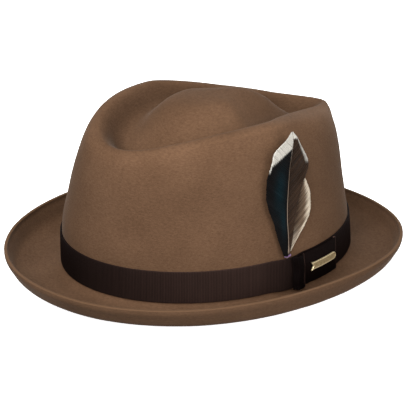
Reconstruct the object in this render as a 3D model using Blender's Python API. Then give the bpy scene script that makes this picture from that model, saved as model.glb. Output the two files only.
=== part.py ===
"""A wool felt hat with a diamond crown, a curled brim, a ribbon with a flat bow, two feathers and a badge.

Metres, +Z up. The front of the hat looks along -Y and the wearer's left side is +X.
The origin is on the surface that the brim rests on, under the middle of the brim.
Angles are measured in plan from +X: -90 degrees is the front and +90 degrees the rear.
"""

import math
from collections import namedtuple

import bmesh
import bpy
from mathutils import Vector

# Felt body: head size, crown and brim
FELT = 0.0022
BASE_HALF_WIDTH = 0.0857
BASE_FRONT = 0.1003
BASE_REAR = 0.1043
RIDGE_HALF_WIDTH = 0.0555
RIDGE_FRONT = 0.0767
RIDGE_REAR = 0.1044
RIDGE_HEIGHT_FRONT = 0.0951
RIDGE_HEIGHT_SIDE = 0.1088
RIDGE_HEIGHT_REAR = 0.0879
DOME_HEIGHT = 0.1150
VALLEY_DEPTH_FRONT = 0.0150
VALLEY_DEPTH_SIDE = 0.0110
VALLEY_DEPTH_REAR = 0.0070
BRIM_HALF_WIDTH = 0.1168
BRIM_HALF_LENGTH = 0.1360
BRIM_RISE_FRONT = 0.0160
BRIM_RISE_SIDE = 0.0181
BRIM_RISE_REAR = 0.0118

# Ribbon, bow and badge
CLEARANCE = 0.0003
RIBBON = 0.0009
RIBBON_HEIGHT = 0.0214
RIBBON_START = 0.0064
BOW_PLACE = 1.5
KNOT_WIDTH = 0.0090
KNOT_BULGE = 0.0006
KNOT_OVERHANG = 0.0006
LOOP_LENGTH = 0.0400
LOOP_SPACE = 0.0006
BADGE_LENGTH = 0.0255
BADGE_HEIGHT = 0.0052
BADGE_THICKNESS = 0.0012
BADGE_PLACE = 0.0239
BADGE_LEVEL = 0.0110

# Feathers, tucked in a pocket of the ribbon
FEATHER_PLACE = -2.6
FEATHER_LEAN = 12.0
FEATHER_CUP = 0.130
QUILL_RADIUS = 0.0007
QUILL_SPACING = 0.0020
QUILL_TUCK = 0.0110
QUILL_TAPER = 1.4
BINDING = 0.0004
BINDING_HEIGHT = 0.0022
POCKET_HALF_WIDTH = 0.0150
VANE = 0.0007
FRONT_FEATHER_LENGTH = 0.0790
FRONT_FEATHER_WIDTH = 0.0190
FRONT_FEATHER_SWAY = 0.0155
FRONT_FEATHER_LIFT = 0.0020
REAR_FEATHER_LENGTH = 0.0520
REAR_FEATHER_WIDTH = 0.0135
REAR_FEATHER_SWAY = 0.0175
REAR_FEATHER_LIFT = 0.0003

# Plan outlines: half width, reach to the front and to the rear, how square or pointed each end is, and how
# much the rear end's tip and its turns at the sides are rounded
Outline = namedtuple("Outline", "half_width front rear front_power rear_power tip_rounding side_rounding")
RIDGE = Outline(RIDGE_HALF_WIDTH, RIDGE_FRONT, RIDGE_REAR, 2.03, 0.94, 0.15, 0.40)
BASE = Outline(BASE_HALF_WIDTH, BASE_FRONT, BASE_REAR, 2.0, 2.0, 0.0, 0.0)
EDGE = Outline(BRIM_HALF_WIDTH, BRIM_HALF_LENGTH, BRIM_HALF_LENGTH, 2.1, 2.13, 0.0, 0.0)

# How late the ridge falls towards each end, and how slowly its fall to the rear starts
RIDGE_FALL_FRONT = 2.74
RIDGE_FALL_REAR = 0.785
RIDGE_FALL_START = 0.35

# Crown top, from its middle to the ridge. front, side, rear: share of the way out to the ridge.
# rise: 0 is the height of the dome, 1 that of the ridge. sink: share of the valley's depth.
Top = namedtuple("Top", "front side rear rise sink")
CROWN_TOP = [
    Top(0.00, 0.00, 0.00, 0.00, 0.00),
    Top(0.19, 0.18, 0.17, 0.02, 0.02),
    Top(0.36, 0.34, 0.33, 0.12, 0.12),
    Top(0.51, 0.48, 0.49, 0.36, 0.50),
    Top(0.64, 0.60, 0.63, 0.70, 0.88),
    Top(0.745, 0.71, 0.75, 0.92, 1.00),
    Top(0.84, 0.82, 0.85, 1.00, 0.70),
    Top(0.925, 0.92, 0.93, 1.00, 0.20),
    Top(1.00, 1.00, 1.00, 1.00, 0.00),
]

# Crown wall, from the ridge to the ribbon. height: share of the way up from the ribbon's top to the ridge.
# front, side, rear: share of the way in from the base outline to the ridge outline. swell: how far the rear
# stands out beyond that, in metres.
Wall = namedtuple("Wall", "height front side rear swell")
CROWN_WALL = [
    Wall(0.975, 0.89, 0.77, 0.80, 0.0016),
    Wall(0.92, 0.715, 0.71, 0.53, 0.0024),
    Wall(0.80, 0.535, 0.58, 0.34, 0.0019),
    Wall(0.60, 0.33, 0.393, 0.21, 0.0010),
    Wall(0.36, 0.16, 0.227, 0.14, 0.0004),
    Wall(0.14, 0.03, 0.083, 0.08, 0.0000),
    Wall(0.00, 0.00, 0.026, 0.046, 0.0000),
]

# Brim, from the break at the crown to the edge. reach: share of the way from the base outline to the edge.
# rise: share of the rise of the edge. The brim rests on the rows that have none.
Brim = namedtuple("Brim", "reach rise")
BRIM = [
    Brim(0.10, 0.05),
    Brim(0.28, 0.00),
    Brim(0.48, 0.00),
    Brim(0.70, 0.12),
    Brim(0.85, 0.28),
    Brim(0.95, 0.66),
    Brim(0.995, 0.86),
    Brim(1.00, 1.00),
]

# Feathers, from the tucked end of the quill to the tip. along: share of the length above the ribbon.
# sway: share of the sway to the rear. fore, aft: shares of the width that each vane takes. lift: share of the lift.
Barb = namedtuple("Barb", "along sway fore aft lift")
FRONT_FEATHER = [
    Barb(0.045, 0.00, 0.20, 0.06, 0.85),
    Barb(0.16, 0.02, 0.42, 0.27, 1.00),
    Barb(0.31, 0.06, 0.57, 0.42, 1.00),
    Barb(0.42, 0.155, 0.75, 0.55, 1.00),
    Barb(0.52, 0.28, 0.86, 0.68, 1.00),
    Barb(0.61, 0.40, 0.93, 0.83, 1.00),
    Barb(0.68, 0.51, 0.98, 0.98, 1.00),
    Barb(0.73, 0.60, 0.96, 0.93, 1.05),
    Barb(0.80, 0.74, 0.90, 0.70, 1.10),
    Barb(0.87, 0.90, 0.92, 0.42, 1.15),
    Barb(0.93, 1.02, 0.80, 0.22, 1.25),
    Barb(0.97, 1.00, 0.32, 0.12, 1.30),
    Barb(1.00, 0.96, 0.05, 0.05, 1.35),
]
REAR_FEATHER = [
    Barb(0.06, 0.00, 0.10, 0.10, 0.00),
    Barb(0.17, 0.11, 0.25, 0.37, 0.00),
    Barb(0.30, 0.29, 0.45, 0.70, 0.00),
    Barb(0.43, 0.46, 0.55, 1.00, 0.00),
    Barb(0.53, 0.60, 0.60, 1.00, 0.20),
    Barb(0.73, 0.83, 0.55, 0.78, 0.50),
    Barb(0.88, 0.94, 0.38, 0.44, 0.80),
    Barb(1.00, 1.00, 0.06, 0.06, 1.00),
]

# Badge outline. along: share of the badge's length from its middle. up: share of its height.
Corner = namedtuple("Corner", "along up")
BADGE = [
    Corner(-0.50, 0.58),
    Corner(-0.43, 0.00),
    Corner(-0.50, -0.58),
    Corner(-0.38, -0.44),
    Corner(-0.19, -0.43),
    Corner(0.00, -0.42),
    Corner(0.19, -0.42),
    Corner(0.38, -0.42),
    Corner(0.46, -0.30),
    Corner(0.50, 0.00),
    Corner(0.46, 0.30),
    Corner(0.38, 0.42),
    Corner(0.19, 0.42),
    Corner(0.00, 0.42),
    Corner(-0.19, 0.43),
    Corner(-0.38, 0.44),
]
BADGE_FACE = 0.80

AROUND = 96
POCKET_STEPS = 16
LOOP_STEPS = 20
TURN_STEPS = 6
BINDING_STEPS = 16
NORMAL_STEP = 0.0015
FLATNESS = 0.00001


def blend(low, high, share):
    return low + (high - low) * share


def by_end(angle, front, side, rear):
    """A value that turns smoothly from its front figure through its side figure to its rear figure."""
    end = front if math.sin(angle) < 0 else rear
    return blend(side, end, math.sin(angle) ** 2)


def rounded(share, rounding):
    """A share from 0 to 1 that leaves 0 slowly, so that a corner of an outline is round."""
    return (math.hypot(share, rounding) - rounding) / (math.hypot(1, rounding) - rounding)


def reach_of(outline, angle):
    """How far an outline lies from the middle of the hat, in the direction of angle."""
    at_front = math.sin(angle) < 0
    length = outline.front if at_front else outline.rear
    power = outline.front_power if at_front else outline.rear_power
    tip_rounding = 0 if at_front else outline.tip_rounding
    side_rounding = 0 if at_front else outline.side_rounding
    across = rounded(abs(math.cos(angle)), tip_rounding) / outline.half_width
    along = rounded(abs(math.sin(angle)), side_rounding) / length
    return (across**power + along**power) ** (-1 / power)


def ridge_height(angle):
    """The ridge falls from its sides to the front late and suddenly, and to the rear in a nearly straight slope."""
    along = abs(math.sin(angle)) * reach_of(RIDGE, angle)
    if math.sin(angle) < 0:
        return blend(RIDGE_HEIGHT_SIDE, RIDGE_HEIGHT_FRONT, (along / RIDGE_FRONT) ** RIDGE_FALL_FRONT)
    fall = rounded(along / RIDGE_REAR, RIDGE_FALL_START) ** RIDGE_FALL_REAR
    return blend(RIDGE_HEIGHT_SIDE, RIDGE_HEIGHT_REAR, fall)


def top_point(angle, row):
    reach = by_end(angle, row.front, row.side, row.rear)
    depth = by_end(angle, VALLEY_DEPTH_FRONT, VALLEY_DEPTH_SIDE, VALLEY_DEPTH_REAR)
    return reach * reach_of(RIDGE, angle), blend(DOME_HEIGHT, ridge_height(angle), row.rise) - row.sink * depth


def wall_point(angle, row):
    inward = by_end(angle, row.front, row.side, row.rear)
    radius = blend(reach_of(BASE, angle), reach_of(RIDGE, angle), inward) + by_end(angle, 0, 0, row.swell)
    return radius, blend(RIBBON_START + RIBBON_HEIGHT, ridge_height(angle), row.height)


def brim_point(angle, row):
    rise = by_end(angle, BRIM_RISE_FRONT, BRIM_RISE_SIDE, BRIM_RISE_REAR)
    radius = blend(reach_of(BASE, angle), reach_of(EDGE, angle), row.reach)
    return radius, blend(FELT, rise, row.rise)


def stations(angle):
    """The outer profile of the felt in the direction of angle, as (radius, height), from the top to the edge."""
    found = [top_point(angle, row) for row in CROWN_TOP]
    found += [wall_point(angle, row) for row in CROWN_WALL]
    found.append((reach_of(BASE, angle), RIBBON_START))
    found += [brim_point(angle, row) for row in BRIM]
    return found


def wall_radius(angle, height):
    """The outside radius of the crown wall at a height between the ribbon's foot and the ridge."""
    rows = [top_point(angle, CROWN_TOP[-1])] + [wall_point(angle, row) for row in CROWN_WALL]
    rows.append((reach_of(BASE, angle), RIBBON_START))
    for upper, lower in zip(rows, rows[1:]):
        if height >= lower[1]:
            share = (height - lower[1]) / (upper[1] - lower[1])
            return blend(lower[0], upper[0], min(share, 1.0))
    return rows[-1][0]


def at(angle, radius, height):
    return Vector((radius * math.cos(angle), radius * math.sin(angle), height))


def off_wall(angle, height, off):
    """The point that lies off the outside of the crown wall by a distance, square to the wall."""
    turn = NORMAL_STEP / BASE_HALF_WIDTH
    low = max(height - NORMAL_STEP, RIBBON_START)
    sideways = at(angle + turn, wall_radius(angle + turn, height), height) - at(
        angle - turn, wall_radius(angle - turn, height), height
    )
    upward = at(angle, wall_radius(angle, height + NORMAL_STEP), height + NORMAL_STEP) - at(
        angle, wall_radius(angle, low), low
    )
    return at(angle, wall_radius(angle, height), height) + sideways.cross(upward).normalized() * off


def along_band(place, distance):
    """The angle that lies a distance towards the rear from a place on the band given in degrees."""
    start = math.radians(place)
    return start + distance / reach_of(BASE, start)


def off_quills(up, aside, out):
    """A point of the feathers' own space, from the middle of the quills at the ribbon's top edge.

    up runs along the quills and leans in with the crown, aside runs to the rear, and out faces away from the
    felt. The space is cupped, so that the vanes bend round the crown.
    """
    place = math.radians(FEATHER_PLACE)
    lean = math.radians(FEATHER_LEAN)
    rim = RIBBON_START + RIBBON_HEIGHT
    foot = off_wall(place, rim, 2 * CLEARANCE + BINDING + QUILL_RADIUS)
    outward = at(place, 1.0, 0.0)
    rearward = Vector((-outward.y, outward.x, 0.0))
    upward = Vector((0, 0, math.cos(lean))) - outward * math.sin(lean)
    away = rearward.cross(upward)
    return foot + upward * up + rearward * aside + away * (out - aside * aside / (2 * FEATHER_CUP))


def in_pocket(up, aside, out):
    """A point of the tucked quills, below the ribbon's top edge and square to the wall."""
    height = RIBBON_START + RIBBON_HEIGHT + up
    return off_wall(along_band(FEATHER_PLACE, aside), height, 2 * CLEARANCE + BINDING + QUILL_RADIUS + out)


def pocket(angle):
    """How far the ribbon stands off the felt to make room for the quills: all of it over them, none beside."""
    middle = math.radians(FEATHER_PLACE)
    away = abs(math.remainder(angle - middle, math.tau)) * reach_of(BASE, middle)
    share = min(max((POCKET_HALF_WIDTH - away) / (POCKET_HALF_WIDTH - QUILL_SPACING), 0.0), 1.0)
    depth = 2 * CLEARANCE + BINDING + 2 * QUILL_RADIUS
    return depth * share * share * (3 - 2 * share)


def off_band(angle, height, off):
    """The point that lies off the outside of the ribbon by a distance."""
    return off_wall(angle, height, CLEARANCE + pocket(angle) + RIBBON + off)


def even_angles():
    return [math.tau * step / AROUND for step in range(AROUND)]


def band_angles():
    """The felt's own angles, with more of them where the ribbon bends round the quills."""
    middle = math.radians(FEATHER_PLACE)
    wide = POCKET_HALF_WIDTH / reach_of(BASE, middle)
    extra = [middle + wide * (2 * step / POCKET_STEPS - 1) for step in range(POCKET_STEPS + 1)]
    extra = [angle % math.tau for angle in extra]
    least = math.tau / AROUND / 4
    kept = [angle for angle in even_angles() if all(abs(math.remainder(angle - e, math.tau)) > least for e in extra)]
    return sorted(kept + extra)


def add_piece(name, points, faces, material):
    mesh = bpy.data.meshes.new(name)
    bm = bmesh.new()
    verts = [bm.verts.new(point) for point in points]
    for face in faces:
        bm.faces.new([verts[index] for index in face])
    bmesh.ops.recalc_face_normals(bm, faces=bm.faces)
    bmesh.ops.triangulate(bm, faces=bm.faces)
    bm.to_mesh(mesh)
    bm.free()
    mesh.materials.append(material)
    piece = bpy.data.objects.new(name, mesh)
    bpy.context.scene.collection.objects.link(piece)
    return piece


def add_material(name, colour, roughness, metallic=0.0):
    material = bpy.data.materials.new(name)
    material.use_nodes = True
    shader = material.node_tree.nodes["Principled BSDF"]
    shader.inputs["Base Color"].default_value = (*colour, 1.0)
    shader.inputs["Roughness"].default_value = roughness
    shader.inputs["Metallic"].default_value = metallic
    return material


def add_loft(name, sections, material, ring=False):
    """A solid through equal closed sections, capped at both ends unless the sections run in a ring."""
    count = len(sections[0])
    points = [point for section in sections for point in section]
    faces = []
    for row in range(len(sections) if ring else len(sections) - 1):
        this = row * count
        following = (row + 1) % len(sections) * count
        for step in range(count):
            onward = (step + 1) % count
            faces.append((this + step, this + onward, following + onward, following + step))
    if not ring:
        faces.append(tuple(range(count)))
        faces.append(tuple((len(sections) - 1) * count + step for step in range(count)))
    return add_piece(name, points, faces, material)


def felt_body(material):
    """The felt's outer surface, the same surface set in by the felt's thickness, and the raw edge between."""
    angles = even_angles()
    profiles = [stations(angle) for angle in angles]
    rows = len(profiles[0])
    outer = [[at(angles[step], *profiles[step][row]) for step in range(AROUND)] for row in range(rows)]
    top = sum(outer[0], Vector()) / AROUND
    inner = []
    for row in range(1, rows):
        inner.append([])
        for step in range(AROUND):
            before = outer[row - 1][step]
            after = outer[min(row + 1, rows - 1)][step]
            sideways = outer[row][(step + 1) % AROUND] - outer[row][step - 1]
            point = outer[row][step] - sideways.cross(before - after).normalized() * FELT
            resting = abs(outer[row][step].z - FELT) < FLATNESS
            inner[-1].append(Vector((point.x, point.y, 0.0 if resting else max(point.z, 0.0))))
    points = [top] + [point for ring in outer[1:] for point in ring]
    start = len(points)
    points += [top - Vector((0, 0, FELT))] + [point for ring in inner for point in ring]
    faces = []
    for step in range(AROUND):
        onward = (step + 1) % AROUND
        for first in (0, start):
            faces.append((first, first + 1 + step, first + 1 + onward))
            for row in range(rows - 2):
                upper = first + 1 + row * AROUND
                lower = upper + AROUND
                faces.append((upper + step, lower + step, lower + onward, upper + onward))
        last = 1 + (rows - 2) * AROUND
        faces.append((last + step, start + last + step, start + last + onward, last + onward))
    return add_piece("felt_body", points, faces, material)


def hat_band(material):
    sections = []
    for angle in band_angles():
        section = []
        for height, off in ((0, -RIBBON), (0, 0), (RIBBON_HEIGHT, 0), (RIBBON_HEIGHT, -RIBBON)):
            section.append(off_band(angle, RIBBON_START + height, off))
        sections.append(section)
    return add_loft("hat_band", sections, material, ring=True)


def folded(name, path, low, high, material):
    """A ribbon as thick as the band's that follows a path of (distance to the rear, distance off the band)."""
    spine = [Vector(point) for point in path]
    left = []
    right = []
    for index, point in enumerate(spine):
        ahead = spine[min(index + 1, len(spine) - 1)] - spine[max(index - 1, 0)]
        across = Vector((-ahead.y, ahead.x)).normalized() * (RIBBON / 2)
        left.append(point + across)
        right.append(point - across)
    sections = []
    for one, other in zip(left, right):
        section = []
        for (distance, off), height in ((one, low), (one, high), (other, high), (other, low)):
            section.append(off_band(along_band(BOW_PLACE, distance), height, off))
        sections.append(section)
    return add_loft(name, sections, material)


def bow_loop(material):
    """A loop of ribbon pressed flat: out along the band from under the knot, round a fold and back."""
    back = CLEARANCE + RIBBON / 2
    front = back + RIBBON + LOOP_SPACE
    fold = (front - back) / 2
    turns = [math.pi * step / TURN_STEPS - math.pi / 2 for step in range(TURN_STEPS + 1)]
    bend = [(LOOP_LENGTH - fold + fold * math.cos(turn), back + fold + fold * math.sin(turn)) for turn in turns]
    runs = [LOOP_LENGTH * step / LOOP_STEPS for step in range(LOOP_STEPS)]
    path = [(run, back) for run in runs] + bend + [(run, front) for run in reversed(runs)]
    return folded("bow_loop", path, RIBBON_START, RIBBON_START + RIBBON_HEIGHT, material)


def bow_knot(material):
    """The fold that covers the loop's front end, from the band in front of it up and over."""
    foot = CLEARANCE + RIBBON / 2
    over = 2 * CLEARANCE + 2 * RIBBON + LOOP_SPACE + RIBBON / 2
    half = KNOT_WIDTH / 2
    path = [
        (-half, foot),
        (-half + RIBBON, foot + KNOT_BULGE),
        (-half + 2 * RIBBON, over / 2 + KNOT_BULGE),
        (-half + 3 * RIBBON, over + KNOT_BULGE / 2),
        (0, over + KNOT_BULGE),
        (half / 2, over + KNOT_BULGE),
        (half, over),
    ]
    top = RIBBON_START + RIBBON_HEIGHT + KNOT_OVERHANG
    return folded("bow_knot", path, RIBBON_START - KNOT_OVERHANG, top, material)


def badge(material):
    """A flat bar with a notched front end and a round rear end, bent to lie on the loop."""
    under = 2 * CLEARANCE + 2 * RIBBON + LOOP_SPACE
    level = RIBBON_START + BADGE_LEVEL
    sections = []
    for off, share in ((0, 1.0), (BADGE_THICKNESS / 2, 1.0), (BADGE_THICKNESS, BADGE_FACE)):
        section = []
        for corner in BADGE:
            inset = BADGE_HEIGHT * (1 - share) / 2
            distance = corner.along * (BADGE_LENGTH - 2 * inset) + BADGE_PLACE
            height = corner.up * BADGE_HEIGHT * share + level
            section.append(off_band(along_band(BOW_PLACE, distance), height, under + off))
        sections.append(section)
    return add_loft("badge", sections, material)


def feather(name, table, length, width, sway, lift, side, material):
    """A quill that is tucked behind the ribbon, with a flat vane on each side of it above the ribbon."""
    quill = side * QUILL_SPACING / 2
    rows = [Barb(-QUILL_TUCK / length, 0, 0, 0, 0)]
    rows.append(Barb(0, 0, 0, 0, 0))
    rows.append(Barb((CLEARANCE + BINDING_HEIGHT) / length, 0, 0, 0, 0))
    rows += table
    sections = []
    for row in rows:
        middle = quill + row.sway * sway
        fore = max(row.fore * width, QUILL_RADIUS)
        aft = max(row.aft * width, QUILL_RADIUS)
        thin = VANE / 2 if row.fore else QUILL_RADIUS / 2
        core = QUILL_RADIUS * min(1.0, QUILL_TAPER - row.along)
        section = []
        for distance, out in ((-fore, thin), (0, core), (aft, thin), (aft, -thin), (0, -core), (-fore, -thin)):
            up = row.along * length
            if up < 0:
                section.append(in_pocket(up, middle + distance, out))
            else:
                section.append(off_quills(up, middle + distance, row.lift * lift + out))
        sections.append(section)
    return add_loft(name, sections, material)


def feather_binding(material):
    """Thread wound round both quills, just above the ribbon."""
    sections = []
    for step in range(BINDING_STEPS):
        turn = math.tau * (step + 0.5) / BINDING_STEPS
        section = []
        for grow, up in ((0, 0), (BINDING, 0), (BINDING, BINDING_HEIGHT), (0, BINDING_HEIGHT)):
            around = QUILL_RADIUS + CLEARANCE + grow
            aside = math.copysign(QUILL_SPACING / 2, math.cos(turn)) + around * math.cos(turn)
            section.append(off_quills(CLEARANCE + up, aside, around * math.sin(turn)))
        sections.append(section)
    return add_loft("feather_binding", sections, material, ring=True)


def build():
    for thing in list(bpy.data.objects):
        bpy.data.objects.remove(thing, do_unlink=True)
    felt = add_material("wool_felt", (0.115, 0.068, 0.040), 0.95)
    ribbon = add_material("grosgrain", (0.016, 0.010, 0.008), 0.75)
    brass = add_material("brass", (0.36, 0.26, 0.12), 0.35, metallic=1.0)
    dark = add_material("dark_feather", (0.020, 0.018, 0.018), 0.55)
    pale = add_material("pale_feather", (0.230, 0.170, 0.120), 0.70)
    thread = add_material("purple_thread", (0.200, 0.120, 0.220), 0.80)
    felt_body(felt)
    hat_band(ribbon)
    bow_loop(ribbon)
    bow_knot(ribbon)
    badge(brass)
    sizes = (FRONT_FEATHER_LENGTH, FRONT_FEATHER_WIDTH, FRONT_FEATHER_SWAY, FRONT_FEATHER_LIFT)
    feather("feather_front", FRONT_FEATHER, *sizes, -1, dark)
    sizes = (REAR_FEATHER_LENGTH, REAR_FEATHER_WIDTH, REAR_FEATHER_SWAY, REAR_FEATHER_LIFT)
    feather("feather_rear", REAR_FEATHER, *sizes, 1, pale)
    feather_binding(thread)


build()
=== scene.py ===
import math
from collections import namedtuple

import bpy
import numpy as np
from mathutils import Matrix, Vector, noise


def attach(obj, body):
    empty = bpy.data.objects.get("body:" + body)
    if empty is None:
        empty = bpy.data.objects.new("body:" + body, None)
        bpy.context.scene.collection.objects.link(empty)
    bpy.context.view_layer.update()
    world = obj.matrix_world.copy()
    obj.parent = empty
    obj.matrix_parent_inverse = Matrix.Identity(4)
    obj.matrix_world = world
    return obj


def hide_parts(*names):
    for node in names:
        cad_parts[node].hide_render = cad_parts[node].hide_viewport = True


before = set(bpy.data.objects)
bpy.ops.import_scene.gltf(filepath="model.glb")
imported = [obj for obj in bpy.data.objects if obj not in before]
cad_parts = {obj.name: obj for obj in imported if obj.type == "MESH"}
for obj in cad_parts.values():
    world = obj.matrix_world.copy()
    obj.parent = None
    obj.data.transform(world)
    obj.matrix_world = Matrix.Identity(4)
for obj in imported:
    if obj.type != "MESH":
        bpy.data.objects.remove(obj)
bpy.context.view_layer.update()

# Felt body
# The crown and brim are one hood of stiffened wool felt, steamed and pressed over a block. The crown top is
# pressed in round a raised dome, and the brim is curled up and cut, with its raw edge left bare.

FELT = 0.0022
BASE_HALF_WIDTH = 0.0857
BASE_FRONT = 0.1003
BASE_REAR = 0.1043
RIDGE_HALF_WIDTH = 0.0555
RIDGE_FRONT = 0.0767
RIDGE_REAR = 0.1044
RIDGE_HEIGHT_FRONT = 0.0951
RIDGE_HEIGHT_SIDE = 0.1088
RIDGE_HEIGHT_REAR = 0.0879
RIDGE_FALL_FRONT = 2.74
RIDGE_FALL_REAR = 0.785
RIDGE_FALL_START = 0.35
DOME_HEIGHT = 0.1150
VALLEY_DEPTH_FRONT = 0.0150
VALLEY_DEPTH_SIDE = 0.0110
VALLEY_DEPTH_REAR = 0.0070
BRIM_HALF_WIDTH = 0.1168
BRIM_HALF_LENGTH = 0.1360
BRIM_RISE_FRONT = 0.0160
BRIM_RISE_SIDE = 0.0181
BRIM_RISE_REAR = 0.0118
RIBBON_HEIGHT = 0.0214
RIBBON_START = 0.0064
BAND_FOOT_ROW = 0.0015
CUT_ROUNDING = 0.0005
UNEVENNESS = 0.0004
BRIM_UNEVENNESS = 0.6
BROAD_WAVES = 26
FINE_WAVES = 60
EVEN_ABOVE_BAND = 0.0120
EVEN_BESIDE_CROWN = 1.08
BRIM_BLUR = 0.15
FLAT_WITHIN = 0.00025
CUT_TURNS = (20, 50, 90, 130, 160)
# Painted light on the crown's rolled rim and painted shade in its valley, as factors on the felt's colour
RIM_PAINTED_LIGHT = 1.12
VALLEY_PAINTED_SHADE = 0.64
FELT_COLUMNS = 320
FELT_FINENESS = 5

Outline = namedtuple("Outline", "half_width front rear front_power rear_power tip_rounding side_rounding")
RIDGE = Outline(RIDGE_HALF_WIDTH, RIDGE_FRONT, RIDGE_REAR, 2.03, 0.94, 0.15, 0.40)
BASE = Outline(BASE_HALF_WIDTH, BASE_FRONT, BASE_REAR, 2.0, 2.0, 0.0, 0.0)
EDGE = Outline(BRIM_HALF_WIDTH, BRIM_HALF_LENGTH, BRIM_HALF_LENGTH, 2.1, 2.13, 0.0, 0.0)

Top = namedtuple("Top", "front side rear rise sink")
CROWN_TOP = [
    Top(0.00, 0.00, 0.00, 0.00, 0.00),
    Top(0.19, 0.18, 0.17, 0.02, 0.02),
    Top(0.36, 0.34, 0.33, 0.12, 0.12),
    Top(0.51, 0.48, 0.49, 0.36, 0.50),
    Top(0.64, 0.60, 0.63, 0.70, 0.88),
    Top(0.745, 0.71, 0.75, 0.92, 1.00),
    Top(0.84, 0.82, 0.85, 1.00, 0.70),
    Top(0.925, 0.92, 0.93, 1.00, 0.20),
    Top(1.00, 1.00, 1.00, 1.00, 0.00),
]
Wall = namedtuple("Wall", "height front side rear swell")
CROWN_WALL = [
    Wall(0.975, 0.89, 0.77, 0.80, 0.0016),
    Wall(0.92, 0.715, 0.71, 0.53, 0.0024),
    Wall(0.80, 0.535, 0.58, 0.34, 0.0019),
    Wall(0.60, 0.33, 0.393, 0.21, 0.0010),
    Wall(0.36, 0.16, 0.227, 0.14, 0.0004),
    Wall(0.14, 0.03, 0.083, 0.08, 0.0000),
    Wall(0.00, 0.00, 0.026, 0.046, 0.0000),
]
Brim = namedtuple("Brim", "reach rise")
BRIM = [
    Brim(0.10, 0.05),
    Brim(0.28, 0.00),
    Brim(0.48, 0.00),
    Brim(0.70, 0.12),
    Brim(0.85, 0.28),
    Brim(0.95, 0.66),
    Brim(0.995, 0.86),
    Brim(1.00, 1.00),
]
# Painted shading of the crown's rows: 1 is painted shade on the inner wall of the valley, -1 painted light on
# the rolled rim; the dome gets some painted light too
PAINTED_SHADING_BY_ROW = [0.0, -0.1, -0.3, -0.6, -0.5, 0.30, 1.0, 0.75, -0.30, -1.0, -0.95, -0.45, 0.0]


def between(low, high, share):
    return low + (high - low) * share


def by_end(angle, front, side, rear):
    end = np.where(np.sin(angle) < 0, front, rear)
    return between(side, end, np.sin(angle) ** 2)


def rounded(share, rounding):
    return (np.hypot(share, rounding) - rounding) / (np.hypot(1, rounding) - rounding)


def reach_of(outline, angle):
    """How far an outline lies from the middle of the hat. Its rear corners are rounded."""
    at_front = np.sin(angle) < 0
    length = np.where(at_front, outline.front, outline.rear)
    power = np.where(at_front, outline.front_power, outline.rear_power)
    tip_rounding = np.where(at_front, 0.0, outline.tip_rounding)
    side_rounding = np.where(at_front, 0.0, outline.side_rounding)
    across = rounded(np.abs(np.cos(angle)), tip_rounding) / outline.half_width
    along = rounded(np.abs(np.sin(angle)), side_rounding) / length
    return (across**power + along**power) ** (-1 / power)


def ridge_height(angle):
    along = np.abs(np.sin(angle)) * reach_of(RIDGE, angle)
    to_front = between(RIDGE_HEIGHT_SIDE, RIDGE_HEIGHT_FRONT, (along / RIDGE_FRONT) ** RIDGE_FALL_FRONT)
    fall = rounded(along / RIDGE_REAR, RIDGE_FALL_START) ** RIDGE_FALL_REAR
    to_rear = between(RIDGE_HEIGHT_SIDE, RIDGE_HEIGHT_REAR, fall)
    return np.where(np.sin(angle) < 0, to_front, to_rear)


def felt_stations(angle):
    """Radius and height of each row of the felt's outer face, for an array of angles."""
    ridge = ridge_height(angle)
    depth = by_end(angle, VALLEY_DEPTH_FRONT, VALLEY_DEPTH_SIDE, VALLEY_DEPTH_REAR)
    brim_rise = by_end(angle, BRIM_RISE_FRONT, BRIM_RISE_SIDE, BRIM_RISE_REAR)
    inner, outer, edge = reach_of(RIDGE, angle), reach_of(BASE, angle), reach_of(EDGE, angle)
    rows = []
    for row in CROWN_TOP:
        reach = by_end(angle, row.front, row.side, row.rear)
        rows.append((reach * inner, between(DOME_HEIGHT, ridge, row.rise) - row.sink * depth))
    for row in CROWN_WALL:
        inward = by_end(angle, row.front, row.side, row.rear)
        swell = by_end(angle, 0, 0, row.swell)
        climb = between(RIBBON_START + RIBBON_HEIGHT, ridge, row.height)
        rows.append((between(outer, inner, inward) + swell, climb))
    rows.append((outer, np.full_like(angle, RIBBON_START + BAND_FOOT_ROW)))
    rows.append((outer, np.full_like(angle, RIBBON_START)))
    rows += [(between(outer, edge, row.reach), between(FELT, brim_rise, row.rise)) for row in BRIM]
    return np.array([row[0] for row in rows]), np.array([row[1] for row in rows])


def smooth_rows(radius, height, fineness):
    """A smooth curve through the rows, with more rows between. The top row is in the middle of the crown."""
    points = np.stack([radius, height])
    first = points[:, 1:2] * np.array([-1.0, 1.0])[:, None, None]
    last = 2 * points[:, -1:] - points[:, -2:-1]
    points = np.concatenate([first, points, last], axis=1)
    steps = np.sqrt(np.sqrt(((points[:, 1:] - points[:, :-1]) ** 2).sum(axis=0))) + 1e-6
    found = []
    for row in range(1, points.shape[1] - 2):
        a, b, c, d = (points[:, row + shift] for shift in (-1, 0, 1, 2))
        before, here, after = steps[row - 1], steps[row], steps[row + 1]
        leave = (b - a) / before - (c - a) / (before + here) + (c - b) / here
        arrive = (c - b) / here - (d - b) / (here + after) + (d - c) / after
        leave, arrive = leave * here, arrive * here
        for step in range(fineness):
            t = step / fineness
            one, two = 2 * t**3 - 3 * t**2 + 1, t**3 - 2 * t**2 + t
            three, four = -2 * t**3 + 3 * t**2, t**3 - t**2
            found.append(one * b + two * leave + three * c + four * arrive)
    found.append(points[:, -2])
    found = np.array(found)
    return found[:, 0], found[:, 1]


def add_piece(name, points, faces, material, smooth=True):
    mesh = bpy.data.meshes.new(name)
    mesh.from_pydata([tuple(point) for point in points], [], [tuple(face) for face in faces])
    mesh.materials.append(material)
    mesh.polygons.foreach_set("use_smooth", [smooth] * len(mesh.polygons))
    mesh.update()
    piece = bpy.data.objects.new(name, mesh)
    bpy.context.scene.collection.objects.link(piece)
    return piece


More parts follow.
